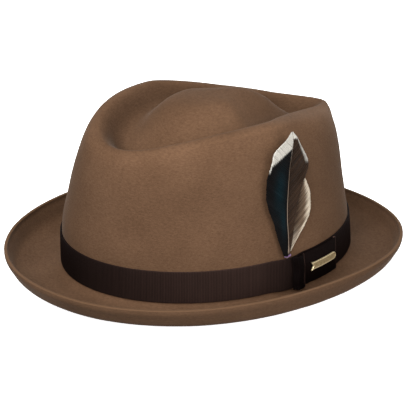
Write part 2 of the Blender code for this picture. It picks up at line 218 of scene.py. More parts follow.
def keep_number(piece, name, values):
    kept = piece.data.attributes.new(name, "FLOAT", "POINT")
    kept.data.foreach_set("value", np.asarray(values, dtype=np.float32))


def face_normals_out(grid):
    """Normals of a closed ring of points, rows from the top down and columns round the hat."""
    down = np.gradient(grid, axis=0)
    round_hat = (np.roll(grid, -1, axis=1) - np.roll(grid, 1, axis=1)) / 2
    normal = np.cross(down, round_hat)
    length = np.linalg.norm(normal, axis=2, keepdims=True)
    return normal / np.maximum(length, 1e-12)


def add_node(tree, kind, given, **settings):
    """A new node with its settings. Each given input is set to a value, or takes what another node gives."""
    node = tree.nodes.new(kind)
    for name, value in settings.items():
        setattr(node, name, value)
    for name, value in given.items():
        if isinstance(value, bpy.types.NodeSocket):
            tree.links.new(value, node.inputs[name])
        else:
            node.inputs[name].default_value = value
    return node


def start_material(name):
    """A new material with its tree, and the piece's own coordinates for its patterns."""
    material = bpy.data.materials.new(name)
    material.use_nodes = True
    tree = material.node_tree
    return material, tree, tree.nodes.new("ShaderNodeTexCoord").outputs["Object"]


def finish(tree, **given):
    """Gives the shader of a material its colour and finish."""
    shader = tree.nodes["Principled BSDF"]
    for name, value in given.items():
        socket = shader.inputs[name.replace("_", " ")]
        if isinstance(value, bpy.types.NodeSocket):
            tree.links.new(value, socket)
        else:
            socket.default_value = value


def stored(tree, name, output="Fac"):
    """What a piece's own attribute says at each point."""
    return add_node(tree, "ShaderNodeAttribute", {}, attribute_name=name).outputs[output]


def grained(tree, place, scale, detail=2, **finer):
    """A noise pattern of a given fineness."""
    given = {"Vector": place, "Scale": scale, "Detail": detail, **finer}
    return add_node(tree, "ShaderNodeTexNoise", given).outputs["Fac"]


def stretched(tree, place, scale):
    """The place that a pattern is laid on, drawn out along some axes."""
    return add_node(tree, "ShaderNodeMapping", {"Vector": place, "Scale": scale}).outputs["Vector"]


def toned(tree, share, low, high, start=0.0, stop=1.0):
    """A colour between two others, as a number says."""
    ramp = add_node(tree, "ShaderNodeValToRGB", {"Fac": share})
    for end, colour, position in zip(ramp.color_ramp.elements, (low, high), (start, stop)):
        end.position = position
        end.color = (*colour, 1)
    return ramp.outputs["Color"]


def ranged(tree, share, low, high, start=0.0, stop=1.0):
    """A number between two others, as a number says."""
    given = {"Value": share, "From Min": start, "From Max": stop, "To Min": low, "To Max": high}
    return add_node(tree, "ShaderNodeMapRange", given).outputs["Result"]


def blended(tree, first, second, share, way="MIX"):
    """A colour mixed with another, or multiplied by it."""
    settings = {"data_type": "RGBA", "blend_type": way, "clamp_factor": False}
    given = {"Factor": share, "A": first, "B": second}
    return add_node(tree, "ShaderNodeMix", given, **settings).outputs["Result"]


def scaled(tree, vector, amount):
    """A colour or a direction times an amount."""
    given = {0: vector, "Scale": amount}
    return add_node(tree, "ShaderNodeVectorMath", given, operation="SCALE").outputs["Vector"]


def worked(tree, operation, *given):
    """What a sum of one kind makes of sockets and numbers."""
    return add_node(tree, "ShaderNodeMath", dict(enumerate(given)), operation=operation).outputs[0]


def bumped(tree, height, strength, distance):
    given = {"Height": height, "Strength": strength, "Distance": distance}
    return add_node(tree, "ShaderNodeBump", given).outputs["Normal"]


def wool_felt():
    """Matted wool: two close browns in clouds and fine flecks, a nap brushed round, and a paler cut edge."""
    material, tree, place = start_material("wool_felt")
    brushed = stretched(tree, place, (0.65, 0.65, 1.7))
    clouds = grained(tree, place, 24, 4)
    flecks = grained(tree, brushed, 820, 5, Roughness=0.7, Distortion=0.6)
    hairs = grained(tree, brushed, 2400, 3)
    cloud_colour = toned(tree, clouds, (0.089, 0.0482, 0.0266), (0.107, 0.0590, 0.0334), 0.36, 0.66)
    fleck_shade = toned(tree, flecks, (0.79, 0.77, 0.76), (1.16, 1.16, 1.16), 0.34, 0.66)
    flecked = blended(tree, cloud_colour, fleck_shade, 1.0, "MULTIPLY")
    # Painted shade in the crown's valley and painted light on its dome and rolled rim scale the felt's colour
    painted_shading_factor = ranged(tree, stored(tree, "pressed"), RIM_PAINTED_LIGHT, VALLEY_PAINTED_SHADE, start=-1.0)
    pressed = scaled(tree, flecked, painted_shading_factor)
    edged = blended(tree, pressed, (0.096, 0.0530, 0.0290, 1), stored(tree, "cut_edge"))
    nap = bumped(tree, worked(tree, "MULTIPLY_ADD", hairs, 0.35, flecks), 0.45, 0.00035)
    finish(tree, Base_Color=edged, Normal=nap, Roughness=0.95, Specular_IOR_Level=0.05)
    finish(tree, Sheen_Weight=0.07, Sheen_Roughness=0.30, Sheen_Tint=(0.80, 0.70, 0.60, 1))
    return material


def waviness(point):
    """Slight waves of the felt: broad ones, and finer ones of half their height."""
    place = Vector(point)
    return noise.noise(place * BROAD_WAVES) + 0.5 * noise.noise(place * FINE_WAVES)


angles = np.linspace(0, math.tau, FELT_COLUMNS, endpoint=False)
radius, height = smooth_rows(*felt_stations(angles), FELT_FINENESS)
outer = np.stack([radius * np.cos(angles), radius * np.sin(angles), height], axis=2)[1:]
top_middle = np.array([0.0, 0.0, height[0].mean()])
normal = face_normals_out(outer)
uneven = np.array([[waviness(point) for point in ring] for ring in outer])
free = np.clip((outer[..., 2] - RIBBON_START - RIBBON_HEIGHT) / EVEN_ABOVE_BAND, 0, 1)
beside_crown = np.hypot(outer[..., 0], outer[..., 1]) / reach_of(BASE, angles)
on_brim = np.clip((beside_crown - EVEN_BESIDE_CROWN) / BRIM_BLUR, 0, 1)
free = np.maximum(free, on_brim * BRIM_UNEVENNESS)
outer = outer + normal * (uneven * UNEVENNESS * free)[..., None]
inner = outer - normal * FELT
resting = np.abs(height[1:] - FELT) < FLAT_WITHIN
inner[..., 2] = np.where(resting, 0.0, np.maximum(inner[..., 2], 0.0))
outward = outer[-1] - outer[-2]
outward /= np.linalg.norm(outward, axis=1, keepdims=True)
cut_rows = []
for degrees in CUT_TURNS:
    turn = math.radians(degrees)
    down = FELT * (1 - math.cos(turn)) / 2
    cut_rows.append(outer[-1] - normal[-1] * down + outward * CUT_ROUNDING * math.sin(turn))
rings = np.concatenate([outer, np.array(cut_rows), inner[::-1]])
points = [top_middle] + list(rings.reshape(-1, 3)) + [top_middle - np.array([0, 0, FELT])]
faces = []
for column in range(FELT_COLUMNS):
    onward = (column + 1) % FELT_COLUMNS
    faces.append((0, 1 + column, 1 + onward))
    for ring in range(len(rings) - 1):
        upper, lower = 1 + ring * FELT_COLUMNS, 1 + (ring + 1) * FELT_COLUMNS
        faces.append((upper + column, lower + column, lower + onward, upper + onward))
    last = 1 + (len(rings) - 1) * FELT_COLUMNS
    faces.append((len(points) - 1, last + onward, last + column))
felt = add_piece("hat_felt", points, faces, wool_felt())
cut_edge = np.zeros(len(points))
start = 1 + len(outer) * FELT_COLUMNS
cut_edge[start : start + len(cut_rows) * FELT_COLUMNS] = 1.0
keep_number(felt, "cut_edge", cut_edge)
# Painted shading for each row of the felt's outer face, spread to all its points
painted_shading_rows = PAINTED_SHADING_BY_ROW + [0.0] * (len(CROWN_TOP) + len(CROWN_WALL) + 2 + len(BRIM) - len(PAINTED_SHADING_BY_ROW))
painted_shading_per_point = np.interp(np.arange(len(outer)) + 1, np.arange(len(painted_shading_rows)) * FELT_FINENESS, painted_shading_rows)
painted_shading_per_point = np.concatenate([[0.0], np.repeat(painted_shading_per_point, FELT_COLUMNS)])
keep_number(felt, "pressed", np.concatenate([painted_shading_per_point, np.zeros(len(points) - len(painted_shading_per_point))]))
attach(felt, "root")
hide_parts("felt_body")

# Hat band
# A dark grosgrain ribbon, woven with fine upright ribs between two selvedges, is drawn round the foot of the
# crown and tacked under the bow. It stands off the felt over the tucked quills, with a sheen painted near the
# front.

CLEARANCE = 0.0003
RIBBON = 0.0009
RIB_PITCH = 0.0010
RIB_HEIGHT = 0.00018
# Where a sheen is painted on the band's front, in degrees round the hat, and how faint it is elsewhere
PAINTED_SHEEN_FROM = -108.0
PAINTED_SHEEN_TO = 6.0
PAINTED_SHEEN_RISE = 72.0
PAINTED_SHEEN_FALL = 24.0
PAINTED_SHEEN_LEAST = 0.15
COLUMNS_PER_RIB = 6
SELVEDGE = 0.0008
FEATHER_PLACE = -2.6
QUILL_RADIUS = 0.0007
QUILL_SPACING = 0.0020
BINDING = 0.0004
POCKET_HALF_WIDTH = 0.0150
WALL_COLUMNS = 1440
WALL_LEVELS = 260
NORMAL_STEP = 0.0015


def wall_table():
    """Radius of the felt wall at even angles and heights, from the ribbon's foot to the highest ridge."""
    columns = np.linspace(0, math.tau, WALL_COLUMNS, endpoint=False)
    radius, height = smooth_rows(*felt_stations(columns), FELT_FINENESS)
    top = (len(CROWN_TOP) - 1) * FELT_FINENESS
    foot = top + (len(CROWN_WALL) + 2) * FELT_FINENESS
    levels = np.linspace(RIBBON_START, RIDGE_HEIGHT_SIDE, WALL_LEVELS)
    rising = slice(foot, top - 1, -1)
    found = []
    for column in range(WALL_COLUMNS):
        found.append(np.interp(levels, height[rising, column], radius[rising, column]))
    return np.array(found)


WALL = wall_table()


def wall_radius(angle, height):
    across = np.asarray(angle) % math.tau / math.tau * WALL_COLUMNS
    climb = (np.asarray(height) - RIBBON_START) / (RIDGE_HEIGHT_SIDE - RIBBON_START)
    up = np.clip(climb, 0, 1) * (WALL_LEVELS - 1)
    column, level = np.floor(across).astype(int), np.minimum(np.floor(up).astype(int), WALL_LEVELS - 2)
    column = column % WALL_COLUMNS
    beside, part, lift = (column + 1) % WALL_COLUMNS, across - np.floor(across), up - level
    low = between(WALL[column, level], WALL[beside, level], part)
    high = between(WALL[column, level + 1], WALL[beside, level + 1], part)
    return between(low, high, lift)


def at(angle, radius, height):
    angle, radius, height = np.broadcast_arrays(angle, radius, height)
    return np.stack([radius * np.cos(angle), radius * np.sin(angle), height], axis=-1)


def off_wall(angle, height, off):
    """Points off the outside of the crown wall by a distance, square to the wall."""
    turn = NORMAL_STEP / BASE_HALF_WIDTH
    low = np.maximum(height - NORMAL_STEP, RIBBON_START)
    high = np.asarray(height) + NORMAL_STEP
    sideways = at(angle + turn, wall_radius(angle + turn, height), height)
    sideways = sideways - at(angle - turn, wall_radius(angle - turn, height), height)
    upward = at(angle, wall_radius(angle, high), high) - at(angle, wall_radius(angle, low), low)
    away = np.cross(sideways, upward)
    away /= np.linalg.norm(away, axis=-1, keepdims=True)
    return at(angle, wall_radius(angle, height), height) + away * np.asarray(off)[..., None]


def pocket(angle):
    middle = math.radians(FEATHER_PLACE)
    away = np.abs((np.asarray(angle) - middle + math.pi) % math.tau - math.pi) * reach_of(BASE, middle)
    share = np.clip((POCKET_HALF_WIDTH - away) / (POCKET_HALF_WIDTH - QUILL_SPACING), 0, 1)
    return (2 * CLEARANCE + BINDING + 2 * QUILL_RADIUS) * share**2 * (3 - 2 * share)


def off_band(angle, height, off):
    return off_wall(angle, height, CLEARANCE + pocket(angle) + RIBBON + off)


def start_tree(name, sockets, result):
    """A tree of Geometry Nodes with its named inputs and its one result, and what it is given."""
    tree = bpy.data.node_groups.new(name, "GeometryNodeTree")
    for label, kind in sockets.items():
        tree.interface.new_socket(name=label, in_out="INPUT", socket_type=kind)
    tree.interface.new_socket(name=result, in_out="OUTPUT", socket_type="NodeSocketGeometry")
    return tree, tree.nodes.new("NodeGroupInput").outputs


def end_tree(tree, shape, material):
    """Makes a tree's copies real, gives them their material, and hands them out."""
    realized = add_node(tree, "GeometryNodeRealizeInstances", {"Geometry": shape}).outputs["Geometry"]
    finished = add_node(tree, "GeometryNodeSetMaterial", {"Geometry": realized, "Material": material})
    add_node(tree, "NodeGroupOutput", {0: finished.outputs["Geometry"]})


def told(tree, name, kind="FLOAT"):
    """What an attribute of the shape that a tree works on says at each point."""
    reading = add_node(tree, "GeometryNodeInputNamedAttribute", {"Name": name}, data_type=kind)
    return reading.outputs["Attribute"]


def rib_tree():
    """Weaves ribs into a ribbon: its face sinks between ribs that cross it at even distances."""
    sockets = {
        "Ribbon": "NodeSocketGeometry",
        "Rib Pitch": "NodeSocketFloat",
        "Rib Height": "NodeSocketFloat",
        "Finish": "NodeSocketMaterial",
    }
    tree, given = start_tree("grosgrain_ribs", sockets, "Ribbed")
    turns = worked(tree, "DIVIDE", told(tree, "along"), given["Rib Pitch"])
    wave = worked(tree, "COSINE", worked(tree, "MULTIPLY", turns, math.tau))
    masked = worked(tree, "MULTIPLY", worked(tree, "MULTIPLY_ADD", wave, 0.5, -0.5), told(tree, "woven"))
    depth = worked(tree, "MULTIPLY", masked, given["Rib Height"])
    sunk = scaled(tree, tree.nodes.new("GeometryNodeInputNormal").outputs[0], depth)
    storing = {"data_type": "FLOAT", "domain": "POINT"}
    # The groove depth is kept for the painted shade in the ribbon's grooves
    kept = {"Geometry": given["Ribbon"], "Name": "groove", "Value": masked}
    grooved = add_node(tree, "GeometryNodeStoreNamedAttribute", kept, **storing).outputs["Geometry"]
    moved = add_node(tree, "GeometryNodeSetPosition", {"Geometry": grooved, "Offset": sunk})
    end_tree(tree, moved.outputs["Geometry"], given["Finish"])
    return tree


def grow(piece, tree, **given):
    """Runs a tree on a piece with the named inputs, and keeps the result as the piece's plain mesh."""
    modifier = piece.modifiers.new("grown", "NODES")
    modifier.node_group = tree
    sockets = {item.name: item.identifier for item in tree.interface.items_tree if item.item_type == "SOCKET"}
    for name, value in given.items():
        modifier[sockets[name.replace("_", " ")]] = value
    depsgraph = bpy.context.evaluated_depsgraph_get()
    finished = piece.evaluated_get(depsgraph)
    grown = bpy.data.meshes.new_from_object(finished, preserve_all_data_layers=True, depsgraph=depsgraph)
    piece.modifiers.remove(modifier)
    piece.data = grown
    grown.polygons.foreach_set("use_smooth", [True] * len(grown.polygons))
    return piece


def grosgrain():
    """Ribbed silk: near black brown, paler where a sheen is painted, darker with painted shade in its
    grooves, with uneven ribs.
    """
    material, tree, place = start_material("grosgrain")
    # Painted shade: the ribbon's colour is darkest at the bottom of its grooves
    raised = worked(tree, "ADD", stored(tree, "groove"), 1.0)
    without_sheen = toned(tree, raised, (0.0010, 0.0005, 0.0005), (0.0030, 0.0014, 0.0012))
    faded = toned(tree, raised, (0.0115, 0.0064, 0.0052), (0.0285, 0.0158, 0.0126))
    # A painted sheen lightens the ribbon where it is marked for it
    sheen_painted = blended(tree, without_sheen, faded, stored(tree, "faded"))
    by_rib = {"W": stored(tree, "along"), "Scale": 520, "Detail": 1}
    rib_tone = add_node(tree, "ShaderNodeTexNoise", by_rib, noise_dimensions="1D").outputs["Fac"]
    both = worked(tree, "ADD", grained(tree, place, 45), rib_tone)
    shaded = scaled(tree, sheen_painted, ranged(tree, both, 0.90, 1.10, 0.7, 1.3))
    threads = bumped(tree, grained(tree, place, 1500, 3), 0.35, 0.00008)
    finish(tree, Base_Color=shaded, Normal=threads, Roughness=0.70, Specular_IOR_Level=0.03)
    return material


RIBBED = rib_tree()
GROSGRAIN = grosgrain()


def weave(name, rings, rows, lengths, painted_sheen_amount, closed):
    """A ribbed ribbon through a line of points for each row of its section, capped where it isn't closed."""
    count, columns = len(rows), len(lengths)
    faces = []
    for row in range(count):
        this, following = row * columns, (row + 1) % count * columns
        for column in range(columns if closed else columns - 1):
            onward = (column + 1) % columns
            faces.append((this + column, this + onward, following + onward, following + column))
    if not closed:
        faces.append([row * columns for row in range(count)])
        faces.append([row * columns + columns - 1 for row in reversed(range(count))])
    piece = add_piece(name, np.array(rings).reshape(-1, 3), faces, GROSGRAIN)
    keep_number(piece, "along", np.tile(lengths, count))
    keep_number(piece, "woven", np.repeat([woven for _, _, woven in rows], columns))
    # How strong the painted sheen is at each point
    keep_number(piece, "faded", np.tile(painted_sheen_amount, count))
    return grow(piece, RIBBED, Rib_Pitch=RIB_PITCH, Rib_Height=RIB_HEIGHT, Finish=GROSGRAIN)


def ribbon_rows(low, high, front, back):
    """The ribbon's section from its low edge round: height, distance off the band, how far ribbed."""
    middle = (front + back) / 2
    rows = [(low, middle, 0.0), (low + SELVEDGE / 4, between(middle, front, 0.8), 0.3)]
    rows += [(between(low + SELVEDGE, high - SELVEDGE, step / 6), front, 1.0) for step in range(7)]
    rows += [(high - SELVEDGE / 4, between(middle, front, 0.8), 0.3), (high, middle, 0.0)]
    rows += [(high - SELVEDGE / 4, back, 0.0), (low + SELVEDGE / 4, back, 0.0)]
    return rows


def band_lengths(place_angles):
    """Distance along the band's outside to each angle."""
    path = at(place_angles, reach_of(BASE, place_angles), 0.0)
    return np.concatenate([[0.0], np.cumsum(np.linalg.norm(np.diff(path, axis=0), axis=1))])


fine = np.linspace(0, math.tau, 4001)
walked = band_lengths(fine)
ribs = round(walked[-1] / RIB_PITCH)
even = np.arange(ribs * COLUMNS_PER_RIB) / (ribs * COLUMNS_PER_RIB)
band_angle = np.interp(even * walked[-1], walked, fine)
rows = ribbon_rows(RIBBON_START, RIBBON_START + RIBBON_HEIGHT, 0.0, -RIBBON)
rings = []
for row_height, off, _ in rows:
    rings.append(off_band(band_angle, np.full_like(band_angle, row_height), off))
place_degrees = (np.degrees(band_angle) + 180) % 360 - 180
# A painted sheen on the band's front, faint elsewhere
sheen_painted = np.minimum((place_degrees - PAINTED_SHEEN_FROM) / PAINTED_SHEEN_RISE, (PAINTED_SHEEN_TO - place_degrees) / PAINTED_SHEEN_FALL)
painted_sheen_amount = np.clip(sheen_painted, PAINTED_SHEEN_LEAST, 1)
band = weave("band_ribbon", rings, rows, even * ribs * RIB_PITCH, painted_sheen_amount, closed=True)
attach(band, "root")
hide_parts("hat_band")

# Bow
# The bow is the same ribbon: a loop pressed flat against the band, with its front end covered by a narrow,
# slightly crumpled tuck that is drawn round it and sewn at the back. Both have a painted highlight along
# their rear edges.

BOW_PLACE = 1.5
KNOT_WIDTH = 0.0090
KNOT_BULGE = 0.0006
KNOT_OVERHANG = 0.0006
LOOP_LENGTH = 0.0400
LOOP_SPACE = 0.0006
STRIP_STEP = RIB_PITCH / COLUMNS_PER_RIB
# A painted highlight along the rear fold of the bow's ribbons: its width, blur and strength
PAINTED_FOLD_HIGHLIGHT = 0.0008
PAINTED_FOLD_HIGHLIGHT_BLUR = 0.0004
PAINTED_FOLD_HIGHLIGHT_STRENGTH = 2.6
CRUMPLE = 0.0013
CRUMPLES_PER_METRE = 290


def along_band(place, distance):
    start = math.radians(place)
    return start + np.asarray(distance) / float(reach_of(BASE, start))


def folded_ribbon(name, path, low, high, crumple=0.0):
    """A ribbon along a path of (distance to the rear, distance off the band), with a painted highlight at its
    rear fold.
    """
    path = np.array(path)
    walked = np.concatenate([[0.0], np.cumsum(np.linalg.norm(np.diff(path, axis=0), axis=1))])
    steps = np.linspace(0, walked[-1], int(walked[-1] / STRIP_STEP) + 1)
    spine = np.stack([np.interp(steps, walked, path[:, 0]), np.interp(steps, walked, path[:, 1])], axis=1)
    ahead = np.gradient(spine, axis=0)
    across = np.stack([-ahead[:, 1], ahead[:, 0]], axis=1)
    across /= np.linalg.norm(across, axis=1, keepdims=True)
    rows = ribbon_rows(low, high, RIBBON / 2, -RIBBON / 2)
    rings = []
    for row_height, off, _ in rows:
        side = spine + across * off
        slip = crumple * noise.noise(Vector((row_height * CRUMPLES_PER_METRE, 0.5, 0.5)))
        place = along_band(BOW_PLACE, side[:, 0] + slip)
        rings.append(off_band(place, np.full(len(side), row_height), side[:, 1]))
    # A painted highlight along the rear fold, stronger than the band's painted sheen
    rear = spine[:, 0].max() - PAINTED_FOLD_HIGHLIGHT
    painted_sheen_amount = PAINTED_FOLD_HIGHLIGHT_STRENGTH * np.clip((spine[:, 0] - rear) / PAINTED_FOLD_HIGHLIGHT_BLUR, 0, 1)
    return weave(name, rings, rows, steps, painted_sheen_amount, closed=False)


back = CLEARANCE + RIBBON / 2
front = back + RIBBON + LOOP_SPACE
fold = (front - back) / 2
turns = [math.pi * step / 16 - math.pi / 2 for step in range(17)]
bend = [(LOOP_LENGTH - fold + fold * math.cos(turn), back + fold + fold * math.sin(turn)) for turn in turns]
loop_path = [(0, back)] + bend + [(0, front)]
loop = folded_ribbon("bow_ribbon", loop_path, RIBBON_START, RIBBON_START + RIBBON_HEIGHT)
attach(loop, "root")
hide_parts("bow_loop")

foot = CLEARANCE + RIBBON / 2
over = 2 * CLEARANCE + 2 * RIBBON + LOOP_SPACE + RIBBON / 2
half = KNOT_WIDTH / 2
tuck_path = [
    (-half, foot),
    (-half + RIBBON, foot + KNOT_BULGE),
    (-half + 2 * RIBBON, over / 2 + KNOT_BULGE),
    (-half + 3 * RIBBON, over + KNOT_BULGE / 2),
    (0, over + KNOT_BULGE),
    (half / 2, over + KNOT_BULGE),
    (half, over),
]
tuck_top = RIBBON_START + RIBBON_HEIGHT + KNOT_OVERHANG
tuck = folded_ribbon("bow_tuck", tuck_path, RIBBON_START - KNOT_OVERHANG, tuck_top, CRUMPLE)
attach(tuck, "root")
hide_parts("bow_knot")

# Badge
# A small stamped brass bar with a swallow-tailed front end, a round rear end and a raised rim, pinned on the
# bow. Its sunk field is plain and brushed along its length.

BADGE_LENGTH = 0.0255
BADGE_HEIGHT = 0.0052
BADGE_THICKNESS = 0.0012
BADGE_PLACE = 0.0239
BADGE_LEVEL = 0.0110
TAIL_DEPTH = 0.07
BADGE_BODY = 0.46
TAIL_FLARE = 0.2381
TAIL_START = 0.38
TAIL_REACH = 0.12
TAIL_SLANT = 0.75
ROUND_END = 0.12
BADGE_RIM = 0.00055
BADGE_SINK = 0.00018
BADGE_BEVEL = 0.00030
RIM_SLOPE = 0.0002
FIELD_WEAR = 0.25
BADGE_COLUMNS = 110
BADGE_ROWS = 40


def brass():
    """Aged brass: warm and brushed in the field, brighter where the rim is rubbed, and brown in the corners.
    """
    material, tree, place = start_material("brass")
    colour = toned(tree, stored(tree, "raised"), (0.400, 0.300, 0.150), (0.860, 0.720, 0.450))
    brush = grained(tree, stretched(tree, place, (1, 0.06, 1)), 5200, 3)
    marks = grained(tree, place, 900, 4)
    tarnish = toned(tree, marks, (0.70, 0.66, 0.60), (1.0, 1.0, 1.0), 0.35, 0.60)
    aged = blended(tree, colour, tarnish, 1.0, "MULTIPLY")
    scratches = bumped(tree, brush, 0.30, 0.00004)
    finish(tree, Base_Color=aged, Normal=scratches, Roughness=ranged(tree, brush, 0.30, 0.52), Metallic=0.70)
    return material


def eased(share):
    share = np.clip(share, 0, 1)
    return share * share * (3 - 2 * share)


across = np.sin(np.linspace(-math.pi / 2, math.pi / 2, BADGE_ROWS))[None, :]
lengthwise = (1 - np.cos(np.linspace(0, math.pi, BADGE_COLUMNS)))[:, None] / 2
tail = -0.5 + TAIL_DEPTH * (1 - np.abs(across))
head = 0.5 - ROUND_END * (1 - np.sqrt(1 - np.minimum(np.abs(across), 0.999) ** 2))
share_along = tail + (head - tail) * lengthwise
flare = 1 + TAIL_FLARE * np.clip((-share_along - TAIL_START) / TAIL_REACH, 0, 1) ** 2
half_height = BADGE_BODY * BADGE_HEIGHT * flare
distance = share_along * BADGE_LENGTH
level = across * half_height
to_sides = half_height - np.abs(level)
to_ends = np.minimum((share_along - tail) * TAIL_SLANT, head - share_along) * BADGE_LENGTH
to_edge = np.minimum(to_sides, to_ends)
bevel = BADGE_BEVEL * (1 - np.sqrt(1 - (1 - np.clip(to_edge / BADGE_BEVEL, 0, 1)) ** 2))
sunk = BADGE_SINK * eased((to_edge - BADGE_RIM) / RIM_SLOPE)
face = BADGE_THICKNESS - bevel - sunk
under = 2 * CLEARANCE + 2 * RIBBON + LOOP_SPACE
place_angle = along_band(BOW_PLACE, distance + BADGE_PLACE)
place_height = RIBBON_START + BADGE_LEVEL + level
front_grid = off_band(place_angle, place_height, under + face)
back_grid = off_band(place_angle, place_height, np.full_like(face, under))
points = np.concatenate([front_grid.reshape(-1, 3), back_grid.reshape(-1, 3)])
behind = BADGE_COLUMNS * BADGE_ROWS
faces = []
for column in range(BADGE_COLUMNS - 1):
    for row in range(BADGE_ROWS - 1):
        here = column * BADGE_ROWS + row
        faces.append((here, here + BADGE_ROWS, here + BADGE_ROWS + 1, here + 1))
        below = behind + here
        faces.append((below, below + 1, below + BADGE_ROWS + 1, below + BADGE_ROWS))
rim = [column * BADGE_ROWS for column in range(BADGE_COLUMNS)]
rim += [(BADGE_COLUMNS - 1) * BADGE_ROWS + row for row in range(1, BADGE_ROWS)]
rim += [column * BADGE_ROWS + BADGE_ROWS - 1 for column in range(BADGE_COLUMNS - 2, -1, -1)]
rim += [row for row in range(BADGE_ROWS - 2, 0, -1)]
for this, following in zip(rim, rim[1:] + rim[:1]):
    faces.append((this, behind + this, behind + following, following))
badge = add_piece("badge_bar", points, faces, brass())
raised = 1 - eased((to_edge - BADGE_RIM) / RIM_SLOPE)
keep_number(badge, "raised", np.concatenate([between(FIELD_WEAR, 1, raised).ravel(), np.zeros(behind)]))
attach(badge, "root")
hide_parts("badge")

# Front feather
# A duck's wing feather lies flat on the crown, its pale quill tucked behind the ribbon. Barbs grow from both
# sides of the quill: black with a painted teal sheen in front, brown behind, with a white tip and a thin
# white edge.

FEATHER_LEAN = 12.0
FEATHER_CUP = 0.130
QUILL_TUCK = 0.0110
QUILL_TAPER = 1.4
QUILL_SLIM = 0.62
QUILL_SLIM_OVER = 0.0080
QUILL_END = 0.985
QUILL_TIP = 0.15
QUILL_TIP_SLOPE = 1.5
QUILL_TIP_AT = 1.02
QUILL_RISE = 0.0040
QUILL_CLEARANCE = 0.0001
BINDING_HEIGHT = 0.0016
FRONT_FEATHER_LENGTH = 0.0790
FRONT_FEATHER_WIDTH = 0.0190
FRONT_FEATHER_SWAY = 0.0155
FRONT_FEATHER_LIFT = 0.0020
QUILL_SIDES = 8
QUILL_STEPS = 60
BARBS_EACH_SIDE = 420
BARB_WIDTH = 0.00058
BARB_THICKNESS = 0.00016
BARB_SWEEP = 0.75
BARB_SPREAD = 0.004
BARB_TURN = 0.04
BARB_RUFFLE = 0.00003
BARB_ROOT_OFF = 0.0002
BARB_LAYER = 0.6
BARB_CROWDING = 0.10
FIRST_BARB = 0.02
EDGE_RAGGED = 0.0004
REACH_RAGGED = 0.012
BLADE_TAPER = 0.20
BLADE_ROOT = 0.70
TABLE_ROUNDING = 0.018
BARB_RINGS = 15
BARB_CURVE = 0.10
CURVE_SPAN = 0.0120

Barb = namedtuple("Barb", "along sway fore aft lift")
FRONT_FEATHER = [
    Barb(0.012, 0.02, 0.17, 0.02, 0.85),
    Barb(0.16, 0.12, 0.425, 0.19, 1.00),
    Barb(0.31, 0.17, 0.56, 0.33, 1.00),
    Barb(0.42, 0.26, 0.765, 0.465, 1.00),
    Barb(0.52, 0.38, 0.91, 0.60, 1.00),
    Barb(0.61, 0.49, 0.933, 0.757, 1.00),
    Barb(0.68, 0.58, 0.94, 0.92, 1.00),
    Barb(0.73, 0.66, 0.875, 0.885, 1.05),
    Barb(0.80, 0.78, 0.82, 0.67, 1.10),
    Barb(0.87, 0.92, 0.83, 0.40, 1.15),
    Barb(0.905, 0.98, 0.64, 0.29, 1.20),
    Barb(0.94, 1.01, 0.34, 0.20, 1.25),
    Barb(0.975, 1.00, 0.17, 0.10, 1.30),
    Barb(1.00, 0.97, 0.01, 0.01, 1.35),
]

TIP_LINE = 0.0678
TIP_SLANT = 0.52
TIP_BLUR = 0.0010
FORE_EDGE = 0.93
FORE_EDGE_BLUR = 0.05
AFT_EDGE = 0.90
AFT_EDGE_BLUR = 0.06
WHITE_FROM = 0.0560
FORE_WHITE_BLUR = 0.0020
AFT_WHITE_BLUR = 0.0030
AFT_TIP = 0.0735
AFT_TIP_RAGGED = 0.0005
AFT_TIP_BLUR = 0.0012
QUILL_WHITE_FROM = 0.0600
QUILL_WHITE_BLUR = 0.0100
# Painted teal iridescent sheen on the black front vane: how much it varies from barb to barb, and its soft
# spots
IRIDESCENCE_SPREAD = 0.25
FRONT_SEED = 7
IridescenceSpot = namedtuple("IridescenceSpot", "up before tall wide strength")
PAINTED_IRIDESCENCE_SPOTS = [IridescenceSpot(0.044, 0.0066, 0.013, 0.0040, 1.0), IridescenceSpot(0.024, 0.0032, 0.010, 0.0022, 0.7)]

quill_middle = math.radians(FEATHER_PLACE)
quill_lean = math.radians(FEATHER_LEAN)
quill_foot = off_wall(quill_middle, RIBBON_START + RIBBON_HEIGHT, 2 * CLEARANCE + BINDING + QUILL_RADIUS)
quill_outward = np.array([math.cos(quill_middle), math.sin(quill_middle), 0.0])
quill_rearward = np.array([-quill_outward[1], quill_outward[0], 0.0])
quill_upward = np.array([0, 0, math.cos(quill_lean)]) - quill_outward * math.sin(quill_lean)
quill_away = np.cross(quill_rearward, quill_upward)


def off_quills(up, aside, out):
    """Points of the feathers' own cupped space: along the quills, to the rear, and away from the felt."""
    up, aside, out = np.broadcast_arrays(up, aside, out)
    cupped = out - aside * aside / (2 * FEATHER_CUP)
    flat = quill_foot + up[..., None] * quill_upward + aside[..., None] * quill_rearward
    return flat + cupped[..., None] * quill_away


def in_pocket(up, aside, out):
    height = RIBBON_START + RIBBON_HEIGHT + up
    return off_wall(along_band(FEATHER_PLACE, aside), height, 2 * CLEARANCE + BINDING + QUILL_RADIUS + out)


def smooth_column(rows, name, share):
    """A column of a feather's table at any share along the quill, with rounded turns between its rows."""
    known = np.array([row.along for row in rows])
    values = np.array([getattr(row, name) for row in rows])
    spread = np.linspace(-TABLE_ROUNDING, TABLE_ROUNDING, 7)
    return np.mean([np.interp(share + shift, known, values) for shift in spread], axis=0)


